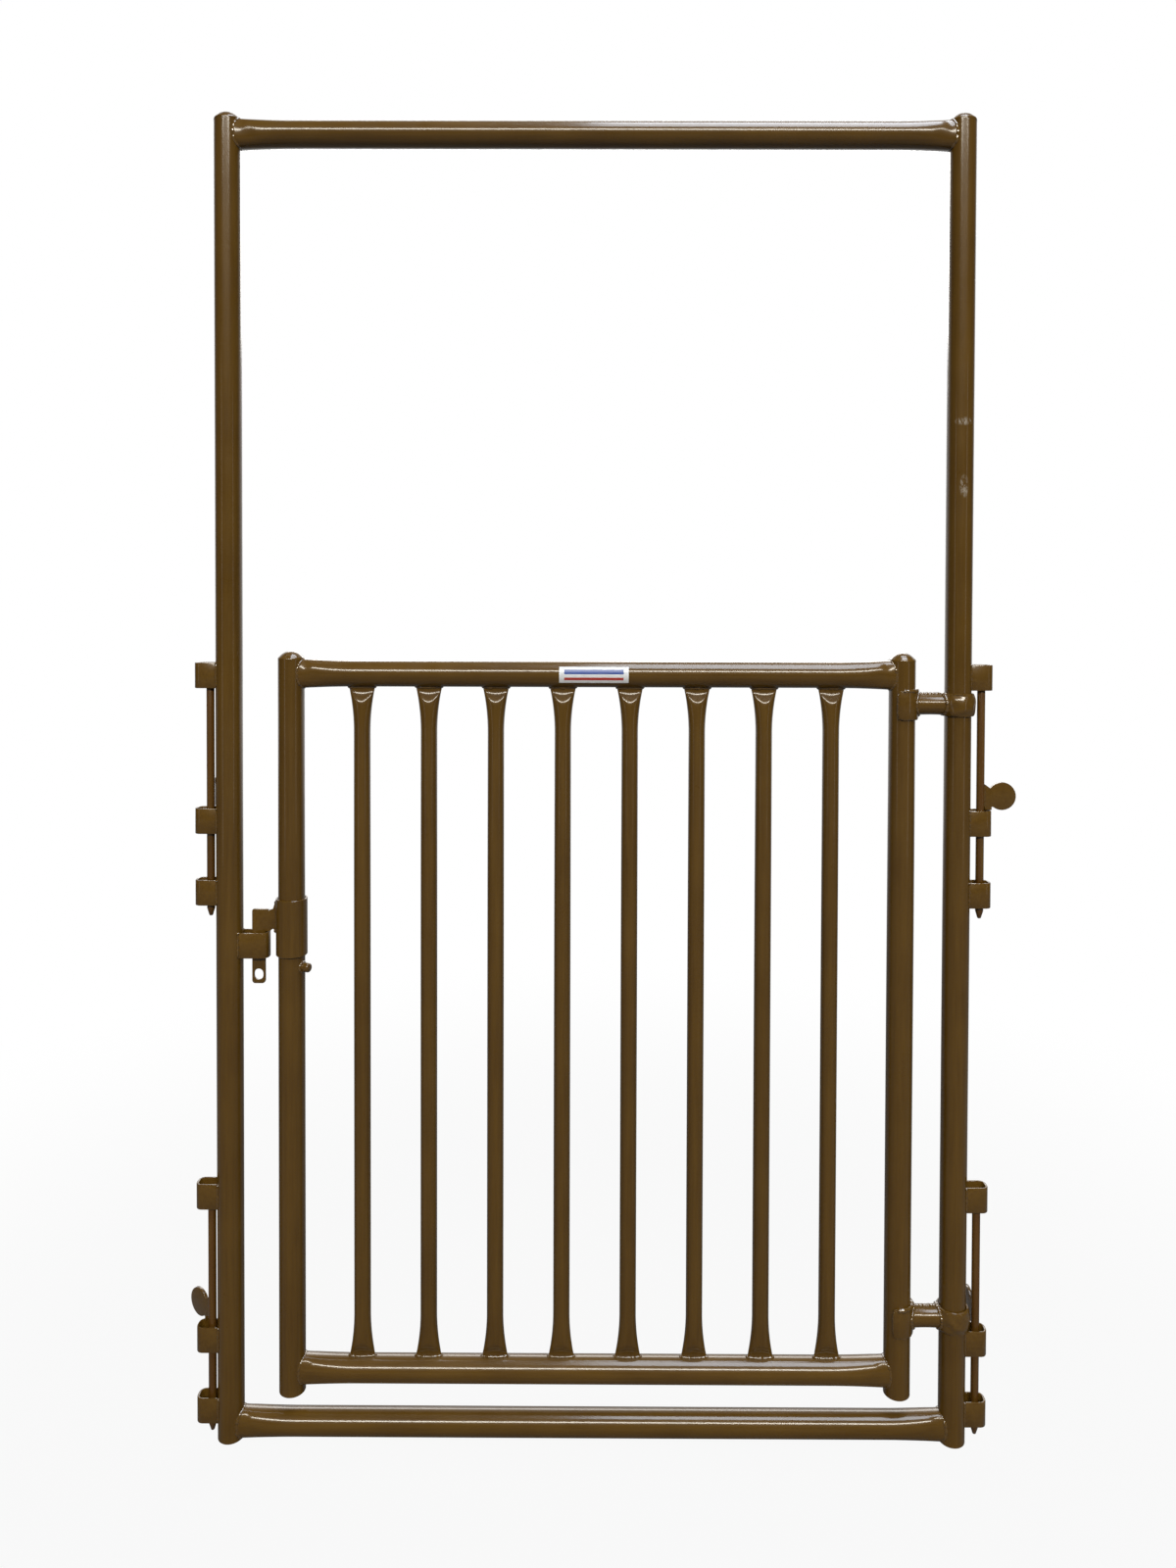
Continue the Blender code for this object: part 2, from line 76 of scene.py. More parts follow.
# Angles up to which an edge is shaded smooth
SMOOTH_UP_TO = math.radians(35)
PLATE_SMOOTH_UP_TO = math.radians(32)
BEAD_SMOOTH_UP_TO = math.radians(80)

# Counts of facets and steps
TUBE_SIDES = 64
RAIL_SIDES = 48
PICKET_SIDES = 40
COLLAR_SIDES = 96
PIN_SIDES = 40
STUD_SIDES = 32
BEAD_SIDES = 10
RIPPLE_STEPS = 6
DOME_STEPS = 16
DOME_SHOULDER_STEPS = 3
RAIL_END_STEPS = 22
PICKET_END_STEPS = 26
COLLAR_STEPS = 18
ARM_STEPS = 10
SADDLE_BEAD_STEPS = 24
STUD_HEAD_STEPS = 6
STUD_WELD_STEPS = 20
LABEL_COLUMNS = 8
LABEL_ROWS = 14
FLOOR_SIDES = 96

# Pressed rail ends. Dents and grooves are counted from the end, their angles from the front or back
PRESSED_RUN = 0.0900
PRESSED_HEIGHT = 0.0470
PRESSED_DEPTH = 0.0340
PRESSED_SQUARENESS = 2.7
DENT_DEPTH = 0.0016
DENT_RUN = 0.0100
DENT_LENGTH = 0.0075
DENT_ANGLE = math.radians(34)
DENT_SPREAD = 0.42
GROOVE_RUN = 0.0240
GROOVE_LENGTH = 0.0130
GROOVE_SHARE = 0.6
RAIL_STEP_POWER = 1.2

# Picket ends, counted from the end
PICKET_RUN = 0.0720
PICKET_END_WIDTH = 0.0420
PICKET_PINCH = 0.38
PICKET_LIP_DEPTH = 0.0066
PICKET_LIP_LENGTH = 0.0050
PICKET_SCOOP_MIDDLE = 0.0265
PICKET_SCOOP_SIDE = 0.0100
PICKET_STEP_POWER = 1.25

# Domes, which lap a little over the tube's edge
CAP_LAP = 0.00015
CAP_LAP_HEIGHT = 0.0014
DOME_BUMP = 0.0005
DOME_BUMP_SIZE = 0.006

# Hinges
COLLAR_SWELL = 0.0028
COLLAR_BREAK = 0.0006
COLLAR_END = 0.0008
COLLAR_EVEN_END = 0.0009
COLLAR_BUMP = 0.0022
COLLAR_BUMP_SIZE = 0.012
COLLAR_BUMP_SINK = 0.0006
ARM_WAIST = 0.03
SADDLE_BEAD_DEGREES = 112
SADDLE_END_ANGLE = math.radians(119)
SADDLE_END_REACH = 0.0235
SADDLE_END_INSET = 0.004

# Drop pins
PIN_TAPER = 0.0125
PIN_TIP_RADIUS = 0.0029
PIN_TIP_BREAK = 0.0006
PIN_SHOULDER_RUN = 0.0012
PIN_SHOULDER_STEP = 0.0003
PIN_HEAD_ROUNDING = 0.0012
PIN_HEAD_CORNER = 0.0004

# Stop stud, turned to the front. It starts at a share of the stile's radius, and the others are of its own
STUD_ANGLE = math.radians(-20)
STUD_START_SHARE = 0.96
STUD_ROOT_SHARE = 0.98
STUD_NECK_SHARE = 0.90
STUD_NECK_END = 0.0030
STUD_SHANK_START = 0.0050
STUD_HEAD_SHARE = 0.45

# Weld beads: radius, and pitch from ripple to ripple
FINE_BEAD = 0.0018
ROPE_BEAD = 0.0032
RAIL_BEAD, RAIL_PITCH = 0.0026, 0.0075
HEADER_BEAD, HEADER_PITCH = 0.0036, 0.0115
SILL_BEAD, SILL_PITCH = 0.0032, 0.0100
PICKET_BEAD, PICKET_PITCH = 0.0026, 0.0085
PICKET_CORNER_BEAD, PICKET_CORNER_PITCH = 0.0034, 0.0045
ARM_BEAD_PITCH = 0.006
ARM_TOP_BEAD_PITCH = 0.0055
SADDLE_TOP_BEAD = 1.15 * ROPE_BEAD
SADDLE_PITCH_SHARE = 2.4
SADDLE_END_PITCH = 0.008
STRAP_PITCH = 0.0075
STRAP_BLOB, STRAP_BLOB_PITCH = 1.35 * FINE_BEAD, 0.003
PADDLE_PITCH = 0.006
LATCH_PITCH = 0.009
LATCH_TOP_BEAD = 1.2 * FINE_BEAD
LATCH_FILLET_PITCH = 0.005
STUD_BEAD, STUD_PITCH = 1.3 * FINE_BEAD, 0.006

# Weld beads: ripples, how far they sink into the corner, and where they lie
RIPPLE_LOW = 0.82
RIPPLE_RISE = 0.18
BEAD_SWELL = 0.20
BEAD_END_SIZE = 0.25
BEAD_SINK = 0.55
BEAD_ABOVE_GROUND = 1.3
STRAP_BEAD_LIFT = 0.0004
STRAP_BEAD_INSET = 0.001
STRAP_BLOB_BELOW, STRAP_BLOB_ABOVE = 0.003, 0.0015
PICKET_CORNER_INNER = (0.0045, 0.0004)
PICKET_CORNER_OUTER = (0.0030, 0.0012)
PADDLE_BEAD_SIDE = 0.0027
PADDLE_BEAD_SINK = 0.0002
PADDLE_BEAD_START = 0.003
PADDLE_BEAD_END = 0.006
LATCH_BEAD_SIDE = 0.0030
LATCH_BEAD_LIFT = 0.0002
LATCH_BEAD_START = 0.040
LATCH_BEAD_END = 0.004
LATCH_TOP_DROP = 0.003
LATCH_BOTTOM_RISE = 0.0375
LATCH_TOP_FILLET = (Vector((-0.003, 0, -0.007)), Vector((0.0012, 0, -0.001)))
LATCH_BOTTOM_FILLET = (Vector((-0.003, 0, 0.003)), Vector((0.0008, 0, -0.004)))
STUD_BEAD_RADIUS = 0.0078

# Label on the top rail. The bars' heights are shares of the film's half angle
LABEL_CENTRE = -0.5875
LABEL_WIDTH = 0.1110
LABEL_HALF_ANGLE = math.radians(37)
LABEL_LIFT = 0.00005
FILM = 0.00015
BAR_LIFT = 0.00022
BAR_INSET = 0.008
UPPER_BAR = (0.10, 0.62)
LOWER_BAR = (-0.62, -0.30)

# Studio. The floor turns white away from its middle for the camera, and behind the gate in gloss
FLOOR_RADIUS = 14.0
FLOOR_ALBEDO = 0.14
FLOOR_ROUGHNESS = 0.9
FLOOR_SHADE_START = 0.8
FLOOR_SHADE_END = 2.4
FLOOR_GLOSS_START = 1.5
FLOOR_GLOSS_END = 7.0
FLOOR_GLOW = 0.93
BACKDROP_START = 0.25
BACKDROP_END = 0.90
ROOM_LEVEL = 0.06
BACKDROP_LEVEL = 0.40

# Colours, linear
COAT = (0.089, 0.0450, 0.0058)
COAT_LIGHT = (0.102, 0.0525, 0.0072)
COAT_DARK = (0.074, 0.0360, 0.0042)
PIN_COAT = (0.082, 0.034, 0.0052)
SCUFF = (0.42, 0.38, 0.32)
LABEL_WHITE = (0.72, 0.74, 0.78)
LABEL_BLUE = (0.030, 0.075, 0.30)
LABEL_RED = (0.42, 0.045, 0.035)
ROOM_COLOUR = (1, 0.99, 0.97, 1)
WHITE = (1, 1, 1, 1)
WARM_LIGHT = (1.0, 0.95, 0.84)
PLAIN_LIGHT = (1.0, 0.98, 0.94)
COOL_LIGHT = (0.84, 0.91, 1.0)

# Noise of the materials: scale, detail and roughness
STREAK_NOISE = (190, 3.0, 0.6)
CLOUD_NOISE = (9, 3.0, 0.55)
SPECK_NOISE = (1500, 1.0, 0.4)
WEAR_NOISE = (26, 4.0, 0.6)
PEEL_NOISE = (330, 1.0, 0.5)
PIT_NOISE = (1100, 0.0, 0.5)
SCUFF_NOISE = (260, 4.0, 0.7)
INK_NOISE = (160, 3.0, 0.6)
FILM_NOISE = (300, 2.0, 0.5)

# How that noise is drawn out, as a scale along x, y and z
EVEN = (1, 1, 1)
ALONG_X = (0.04, 1, 1)
ALONG_Z = (1, 1, 0.04)
TORN_ALONG_Z = (1, 1, 0.35)

# Powder coat: where its tones change, its gloss, its clear skin and its relief
STREAK_SHARE = 0.55
CLOUD_SHARE = 0.45
DARK_BELOW, TONE_MIDDLE, LIGHT_ABOVE = 0.34, 0.50, 0.66
SPECK_START, SPECK_END = 0.70, 0.78
WEAR_START, WEAR_END = 0.30, 0.70
SMOOTHER, ROUGHER = 0.07, 0.10
UNDERCOAT_SPECULAR = 0.12
COAT_ROUGHNESS = 0.13
COAT_IOR = 1.5
WELD_COAT_ROUGHNESS = 0.07
WELD_COAT_IOR = 1.8
PIT_SHARE = 0.35
RELIEF = 0.0006
COAT_RELIEF_SHARE = 0.25
SCUFF_CORE, SCUFF_EDGE = 0.35, 1.0
TORN_START, TORN_END = 0.46, 0.62

# Label film
INK_SHADE = 0.88
INK_START, INK_END = 0.3, 0.7
FILM_ROUGHNESS = 0.32
FILM_BUMP = 0.08
FILM_RELIEF = 0.0004

# A direction that no bead runs along, from which a bead's rings are set up
ASKEW = Vector((0.31, -0.9, 0.29))

# Radius of the ring on which the bumps of a round piece are read
BUMP_RING = 0.02


# Measures from the frame


def centre_of(node):
    low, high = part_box(node)
    return (low + high) / 2


def radius_of(node):
    low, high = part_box(node)
    return (high.x - low.x) / 2


POST_RADIUS = radius_of("hinge_post")
PICKET_RADIUS = (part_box("picket_1")[1].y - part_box("picket_1")[0].y) / 2
LATCH_POST_X = centre_of("latch_post").x
HINGE_POST_X = centre_of("hinge_post").x
LATCH_STILE_X = centre_of("latch_stile").x
HINGE_STILE_X = centre_of("hinge_stile").x


# Mesh helpers


def turns(sides):
    """The angles of evenly spaced points once round a ring."""
    return [2 * math.pi * i / sides for i in range(sides)]


def finished(name, mesh, smooth_up_to):
    """An object of the mesh, with its faces outwards and its shading smooth up to the given angle."""
    shape = bmesh.new()
    shape.from_mesh(mesh)
    bmesh.ops.recalc_face_normals(shape, faces=shape.faces)
    shape.to_mesh(mesh)
    shape.free()
    mesh.shade_smooth()
    mesh.set_sharp_from_angle(angle=smooth_up_to)
    obj = bpy.data.objects.new(name, mesh)
    bpy.context.scene.collection.objects.link(obj)
    return obj


def mesh_piece(name, points, faces, smooth_up_to=SMOOTH_UP_TO):
    mesh = bpy.data.meshes.new(name)
    mesh.from_pydata([tuple(p) for p in points], [], faces)
    return finished(name, mesh, smooth_up_to)


def settle(obj, body, slot, material, *nodes):
    """Rides a finished piece on its body and gives it its material; the slot is not used."""
    obj.data.materials.clear()
    obj.data.materials.append(material)
    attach(obj, body)
    if nodes:
        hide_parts(*nodes)
    return obj


def skin_faces(rings, sides, start=0, closed=False):
    """Faces between neighbouring rings of points and, where closed, from the last ring to the first."""
    faces = []
    for k in range(rings if closed else rings - 1):
        a = start + k * sides
        b = start + (k + 1) % rings * sides
        for i in range(sides):
            j = (i + 1) % sides
            faces.append((a + i, a + j, b + j, b + i))
    return faces


def pipe(name, outer, inner):
    """A closed pipe from rings of its outer and inner skin, which run the same way."""
    rings = outer + inner[::-1]
    points = [p for ring in rings for p in ring]
    return mesh_piece(name, points, skin_faces(len(rings), len(outer[0]), closed=True))


def lathe(name, centre, profile, steps=TUBE_SIDES, closed=False, bumps=None):
    """A solid turned about an upright axis. The profile is (radius, z) from one end to the other."""
    points = []
    spans = []
    for radius, z in profile:
        if radius == 0:
            spans.append([len(points)] * steps)
            points.append(Vector((centre[0], centre[1], z)))
            continue
        spans.append(list(range(len(points), len(points) + steps)))
        for angle in turns(steps):
            out = Vector((math.cos(angle), math.sin(angle), 0))
            at = radius + (bumps(out, z) if bumps else 0)
            points.append(Vector((centre[0], centre[1], z)) + out * at)
    pairs = list(zip(spans, spans[1:]))
    if closed:
        pairs.append((spans[-1], spans[0]))
    faces = []
    for first, second in pairs:
        for i in range(steps):
            j = (i + 1) % steps
            corners = [first[i], first[j], second[j], second[i]]
            face = tuple(dict.fromkeys(corners))
            if len(face) > 2:
                faces.append(face)
    return mesh_piece(name, points, faces)


def softened(node, width, segments=2):
    """A copy of a flat CAD piece with its sharp edges rounded over."""
    shape = bmesh.new()
    shape.from_mesh(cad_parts[node].data)
    bmesh.ops.remove_doubles(shape, verts=shape.verts, dist=MERGE_DISTANCE)
    bmesh.ops.dissolve_limit(shape, angle_limit=FLAT_UP_TO, verts=shape.verts, edges=shape.edges)
    edges = []
    for edge in shape.edges:
        if len(edge.link_faces) == 2 and edge.calc_face_angle() > ROUNDED_FROM:
            edges.append(edge)
    bmesh.ops.bevel(
        shape, geom=edges, offset=width, segments=segments, profile=0.5, affect="EDGES", clamp_overlap=True
    )
    mesh = bpy.data.meshes.new("fine_" + node)
    shape.to_mesh(mesh)
    shape.free()
    return finished("fine_" + node, mesh, PLATE_SMOOTH_UP_TO)


def bumpy(amount, size):
    """Small dents and swellings of a piece that was hammered or pressed."""
    def push(out, z):
        spot = Vector((out.x * BUMP_RING, out.y * BUMP_RING, z)) / size
        return amount * noise.noise(spot)
    return push


# Weld beads


class Beads:
    """Collects weld beads that ride on one body into one mesh."""

    def __init__(self, name, seed):
        self.name = name
        self.chance = random.Random(seed)
        self.points = []
        self.faces = []

    def add(self, path, radius, pitch, closed=False):
        """Lays a rippled bead along a path of points: each ripple is one step of the welder."""
        lengths = [0.0]
        track = [Vector(p) for p in path]
        if closed:
            track.append(track[0])
        for a, b in zip(track, track[1:]):
            lengths.append(lengths[-1] + (b - a).length)
        total = lengths[-1]
        ripples = max(2, round(total / pitch))
        count = ripples * RIPPLE_STEPS
        swells = [1 + self.chance.uniform(-BEAD_SWELL, BEAD_SWELL) for _ in range(ripples + 1)]
        start = len(self.points)
        rings = count if closed else count + 1
        for k in range(rings):
            spot, ahead = along(track, lengths, total * k / count)
            ripple = k / RIPPLE_STEPS
            lump = RIPPLE_LOW + RIPPLE_RISE * math.sin(math.pi * (ripple % 1.0))
            size = radius * lump * swells[int(ripple) % len(swells)]
            if not closed:
                edge = min(k, count - k) / RIPPLE_STEPS
                size *= min(1.0, BEAD_END_SIZE + edge) if edge < 1 else 1.0
            side = ahead.cross(ASKEW).normalized()
            other = ahead.cross(side).normalized()
            for angle in turns(BEAD_SIDES):
                self.points.append(spot + (side * math.cos(angle) + other * math.sin(angle)) * size)
        self.faces += skin_faces(rings, BEAD_SIDES, start, closed)
        if not closed:
            end = start + (rings - 1) * BEAD_SIDES
            self.faces.append(tuple(range(start, start + BEAD_SIDES)))
            self.faces.append(tuple(range(end, end + BEAD_SIDES)))

    def piece(self, body, slot, material):
        made = mesh_piece(self.name, self.points, self.faces, BEAD_SMOOTH_UP_TO)
        return settle(made, body, slot, material)


def along(track, lengths, at):
    """Place and direction on a track at a distance from its start."""
    for k in range(len(track) - 1):
        if at <= lengths[k + 1] or k == len(track) - 2:
            span = lengths[k + 1] - lengths[k]
            share = (at - lengths[k]) / span if span else 0
            ahead = (track[k + 1] - track[k]).normalized()
            return track[k].lerp(track[k + 1], share), ahead


# Materials


def new_node(tree, kind, **inputs):
    made = tree.nodes.new(kind)
    for name, value in inputs.items():
        made.inputs[name].default_value = value
    return made


def combined(tree, operation, *values):
    """The result of a Math node over values, each of them a number or a socket."""
    made = new_node(tree, "ShaderNodeMath")
    made.operation = operation
    for socket, value in zip(made.inputs, values):
        if isinstance(value, float):
            socket.default_value = value
        else:
            tree.links.new(value, socket)
    return made.outputs[0]


def ramp(tree, value, stops):
    """The colour that the value picks between stops of (place, colour)."""
    made = new_node(tree, "ShaderNodeValToRGB")
    ramp_data = made.color_ramp
    for k, (place, colour) in enumerate(stops):
        stop = ramp_data.elements[k] if k < 2 else ramp_data.elements.new(place)
        stop.position = place
        stop.color = (*colour, 1)
    tree.links.new(value, made.inputs["Fac"])
    return made.outputs["Color"]


def mask(tree, value, black_at, white_at):
    """Black up to one value and white from a higher one."""
    return ramp(tree, value, [(black_at, (0, 0, 0)), (white_at, (1, 1, 1))])


def noise_at(tree, coords, grain, squeeze=EVEN):
    scale, detail, roughness = grain
    mapping = new_node(tree, "ShaderNodeMapping", Scale=squeeze)
    tree.links.new(coords, mapping.inputs["Vector"])
    made = new_node(tree, "ShaderNodeTexNoise", Scale=scale, Detail=detail, Roughness=roughness)
    tree.links.new(mapping.outputs[0], made.inputs["Vector"])
    return made.outputs["Fac"]


def tinted(tree, colour_in, share, tint):
    """Mixes a plain tint into a colour."""
    mixed = new_node(tree, "ShaderNodeMix")
    mixed.data_type = "RGBA"
    mixed.inputs["B"].default_value = (*tint, 1)
    tree.links.new(share, mixed.inputs["Factor"])
    tree.links.new(colour_in, mixed.inputs["A"])
    return mixed.outputs["Result"]


def add_relief(tree, height, strength, distance, socket):
    bump = new_node(tree, "ShaderNodeBump", Strength=strength, Distance=distance)
    tree.links.new(height, bump.inputs["Height"])
    tree.links.new(bump.outputs["Normal"], socket)


def new_material(name):
    """A material, its node tree, its shader and the coordinates of the object that it is on."""
    material = bpy.data.materials.new(name)
    material.use_nodes = True
    tree = material.node_tree
    coords = new_node(tree, "ShaderNodeTexCoord").outputs["Object"]
    return material, tree, tree.nodes["Principled BSDF"], coords


def powder_coat(name, colour=COAT, streak=EVEN, gloss=0.34, peel=0.16, coat=0.80, weld=False, scuffs=()):
    """Brown powder coat: faint streaks along the tube, orange peel, small pits and lighter scuffs."""
    material, tree, shader, coords = new_material(name)

    streaks = noise_at(tree, coords, STREAK_NOISE, streak)
    clouds = combined(tree, "MULTIPLY", noise_at(tree, coords, CLOUD_NOISE), CLOUD_SHARE)
    tones = combined(tree, "MULTIPLY_ADD", streaks, STREAK_SHARE, clouds)
    tone_stops = [(DARK_BELOW, COAT_DARK), (LIGHT_ABOVE, COAT_LIGHT), (TONE_MIDDLE, colour)]
    colour_out = ramp(tree, tones, tone_stops)
    specks = mask(tree, noise_at(tree, coords, SPECK_NOISE), SPECK_START, SPECK_END)
    colour_out = tinted(tree, colour_out, specks, COAT_LIGHT)
    for place, size in scuffs:
        colour_out = scuffed(tree, coords, colour_out, place, size)
    tree.links.new(colour_out, shader.inputs["Base Color"])

    gloss_stops = [(WEAR_START, (gloss - SMOOTHER,) * 3), (WEAR_END, (gloss + ROUGHER,) * 3)]
    rough = ramp(tree, noise_at(tree, coords, WEAR_NOISE), gloss_stops)
    tree.links.new(rough, shader.inputs["Roughness"])
    shader.inputs["Specular IOR Level"].default_value = UNDERCOAT_SPECULAR
    shader.inputs["Coat Weight"].default_value = coat
    shader.inputs["Coat Roughness"].default_value = WELD_COAT_ROUGHNESS if weld else COAT_ROUGHNESS
    shader.inputs["Coat IOR"].default_value = WELD_COAT_IOR if weld else COAT_IOR

    skin = noise_at(tree, coords, PEEL_NOISE)
    pitted = combined(tree, "MULTIPLY_ADD", noise_at(tree, coords, PIT_NOISE), PIT_SHARE, skin)
    add_relief(tree, pitted, peel, RELIEF, shader.inputs["Normal"])
    add_relief(tree, skin, peel * COAT_RELIEF_SHARE, RELIEF, shader.inputs["Coat Normal"])
    return material


def scuffed(tree, coords, colour_in, place, size):
    """Mixes a pale scuff into the colour around a place on the surface."""
    shift = new_node(tree, "ShaderNodeMapping", Location=place, Scale=size)
    shift.vector_type = "TEXTURE"
    tree.links.new(coords, shift.inputs["Vector"])
    near_stops = [(SCUFF_CORE, (1, 1, 1)), (SCUFF_EDGE, (0, 0, 0))]
    near = ramp(tree, length_of(tree, shift.outputs[0]), near_stops)
    torn = mask(tree, noise_at(tree, coords, SCUFF_NOISE, TORN_ALONG_Z), TORN_START, TORN_END)
    return tinted(tree, colour_in, combined(tree, "MULTIPLY", near, torn), SCUFF)


def length_of(tree, vector):
    made = new_node(tree, "ShaderNodeVectorMath")
    made.operation = "LENGTH"
    tree.links.new(vector, made.inputs[0])
    return made.outputs["Value"]


def film_ink(name, colour):
    """Printed vinyl film with a faint unevenness."""
    material, tree, shader, coords = new_material(name)
    stops = [(INK_START, tuple(c * INK_SHADE for c in colour)), (INK_END, colour)]
    tree.links.new(ramp(tree, noise_at(tree, coords, INK_NOISE), stops), shader.inputs["Base Color"])
    shader.inputs["Roughness"].default_value = FILM_ROUGHNESS
    add_relief(tree, noise_at(tree, coords, FILM_NOISE), FILM_BUMP, FILM_RELIEF, shader.inputs["Normal"])
    return material


# Each scuff of the hinge post has its place and its half sizes
POST_SCUFFS = [
    ((0.0, -POST_RADIUS, 1.655), (0.016, 0.02, 0.007)),
    ((0.0, -POST_RADIUS, 1.552), (0.008, 0.02, 0.020)),
]
upright_coat = powder_coat("upright_coat", streak=ALONG_Z)
scuffed_coat = powder_coat("scuffed_coat", streak=ALONG_Z, scuffs=POST_SCUFFS)
level_coat = powder_coat("level_coat", streak=ALONG_X)
plate_coat = powder_coat("plate_coat")
pin_coat = powder_coat("pin_coat", PIN_COAT, streak=ALONG_Z)
pressed_coat = powder_coat("pressed_coat", gloss=0.30, coat=0.95)
bead_coat = powder_coat("bead_coat", gloss=0.22, peel=0.08, coat=1.0, weld=True)


# Upright tubes, domes and plugs


def upright(node_name, body, slot, material):
    """Posts and stiles, with a small break at the rims of the cut ends."""
    low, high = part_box(node_name)
    outer = radius_of(node_name)
    inner = outer - TUBE_WALL
    profile = [
        (inner, low.z + TUBE_RIM),
        (inner + TUBE_RIM, low.z),
        (outer - TUBE_RIM, low.z),
        (outer, low.z + TUBE_RIM),
        (outer, high.z - TUBE_RIM),
        (outer - TUBE_RIM, high.z),
        (inner, high.z),
    ]
    tube = lathe("fine_" + node_name, centre_of(node_name), profile, closed=True)
    settle(tube, body, slot, material, node_name)


def dome(node_name, body, slot):
    """A pressed cap that is round at its crown and welded on at its edge."""
    low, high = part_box(node_name)
    edge = radius_of(node_name)
    rise = high.z - low.z
    sphere = (edge**2 + rise**2) / (2 * rise)
    lean = math.asin(min(1.0, edge / sphere))
    profile = [(0.0, high.z)]
    for k in range(1, DOME_STEPS + 1):
        angle = lean * k / DOME_STEPS
        radius = sphere * math.sin(angle)
        height = high.z - sphere + sphere * math.cos(angle)
        shoulder = max(0.0, (k - DOME_STEPS + DOME_SHOULDER_STEPS) / DOME_SHOULDER_STEPS)
        profile.append((radius + (edge + CAP_LAP - radius) * shoulder, height))
    profile.append((edge + CAP_LAP, low.z - CAP_LAP_HEIGHT))
    profile.append((edge - CAP_LAP, low.z - CAP_LAP_HEIGHT))
    profile.append((edge - CAP_LAP, low.z))
    profile.append((0.0, low.z))
    pressing = bumpy(DOME_BUMP, DOME_BUMP_SIZE)
    cap = lathe("fine_" + node_name, centre_of(node_name), profile, bumps=pressing)
    settle(cap, body, slot, pressed_coat, node_name)


def make_uprights():
    upright("latch_post", "bow_frame", "frame_coat", upright_coat)
    upright("hinge_post", "bow_frame", "frame_coat", scuffed_coat)
    upright("latch_stile", "gate", "gate_coat", upright_coat)
    upright("hinge_stile", "gate", "gate_coat", upright_coat)
    dome("latch_post_cap", "bow_frame", "frame_coat")
    dome("hinge_post_cap", "bow_frame", "frame_coat")
    dome("latch_stile_cap", "gate", "gate_coat")
    dome("hinge_stile_cap", "gate", "gate_coat")
    for name in ("latch_post_foot", "hinge_post_foot", "latch_stile_plug", "hinge_stile_plug"):
        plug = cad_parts[name]
        plug.data.materials.clear()
        plug.data.materials.append(plate_coat)


# Rails with pressed ends


def squared(angle, half_a, half_b, power):
    """A point of a superellipse, which is an ellipse at power 2 and squarer above."""
    c, s = math.cos(angle), math.sin(angle)
    a = half_a * math.copysign(abs(c) ** (2 / power), c)
    b = half_b * math.copysign(abs(s) ** (2 / power), s)
    return a, b


def hump(value, middle, spread):
    return math.exp(-((value - middle) / spread) ** 2)


def dent(run, angle):
    """Depth of the shallow press marks in the front and back of a rail end."""
    off = math.atan2(math.sin(angle), abs(math.cos(angle)))
    mark = hump(run, DENT_RUN, DENT_LENGTH) * hump(off, DENT_ANGLE, DENT_SPREAD)
    groove = hump(run, GROOVE_RUN, GROOVE_LENGTH) * hump(off, -DENT_ANGLE / 2, DENT_SPREAD)
    return DENT_DEPTH * (mark + GROOVE_SHARE * groove)


def rail_ring(post_x, side, z, share, inset):
    """The tube's section at a share of the run from its pressed end, which hugs the upright."""
    cope = POST_RADIUS + SEAT_GAP
    pressed = (1 - share) ** 2
    tall = POST_RADIUS + (PRESSED_HEIGHT / 2 - POST_RADIUS) * pressed - inset
    deep = POST_RADIUS + (PRESSED_DEPTH / 2 - POST_RADIUS) * pressed - inset
    power = 2 + (PRESSED_SQUARENESS - 2) * pressed
    ring = []
    for angle in turns(RAIL_SIDES):
        y, up = squared(angle, deep, tall, power)
        if abs(y) > DENT_DEPTH:
            y -= math.copysign(dent(PRESSED_RUN * share, angle), y)
        hug = math.sqrt(max(0.0, cope**2 - y**2))
        x = post_x + side * (hug * (1 - share) + cope * share + PRESSED_RUN * share)
        ring.append(Vector((x, y, z + up)))
    return ring


def rail(node_name, body, slot, left_x, right_x, beads, pitch=RAIL_PITCH, bead=RAIL_BEAD):
    """A level tube whose pressed ends follow the round face of the uprights."""
    z = centre_of(node_name).z
    shares = [(k / RAIL_END_STEPS) ** RAIL_STEP_POWER for k in range(RAIL_END_STEPS + 1)]
    skins = []
    for inset in (0.0, TUBE_WALL):
        left = [rail_ring(left_x, 1, z, share, inset) for share in shares]
        right = [rail_ring(right_x, -1, z, share, inset) for share in shares]
        skins.append(left + right[::-1])
    tube = pipe("fine_" + node_name, skins[0], skins[1])
    settle(tube, body, slot, level_coat, node_name)
    for ring in (skins[0][0], skins[0][-1]):
        middle = sum(ring, Vector()) / len(ring)
        sunk = [p + (middle - p).normalized() * bead * BEAD_SINK for p in ring]
        for p in sunk:
            p.z = max(p.z, BEAD_ABOVE_GROUND * bead)
        beads.add(sunk, bead, pitch, closed=True)


# Pickets


def picket_section(away, angle):
    """Half width and depth of a picket at a distance from its end: a flared, pinched tube."""
    flare = max(0.0, 1 - away / PICKET_RUN) ** 2
    half_wide = PICKET_RADIUS + (PICKET_END_WIDTH / 2 - PICKET_RADIUS) * flare
    full_deep = PICKET_RADIUS * (1 - PICKET_PINCH * flare)
    across = abs(math.cos(angle))
    scoop = PICKET_SCOOP_MIDDLE + (PICKET_SCOOP_SIDE - PICKET_SCOOP_MIDDLE) * across**2
    share = (away - PICKET_LIP_LENGTH) / (scoop - PICKET_LIP_LENGTH)
    share = min(1.0, max(0.0, share))
    share = share * share * (3 - 2 * share)
    half_deep = PICKET_LIP_DEPTH / 2 + (full_deep - PICKET_LIP_DEPTH / 2) * share
    return half_wide, half_deep


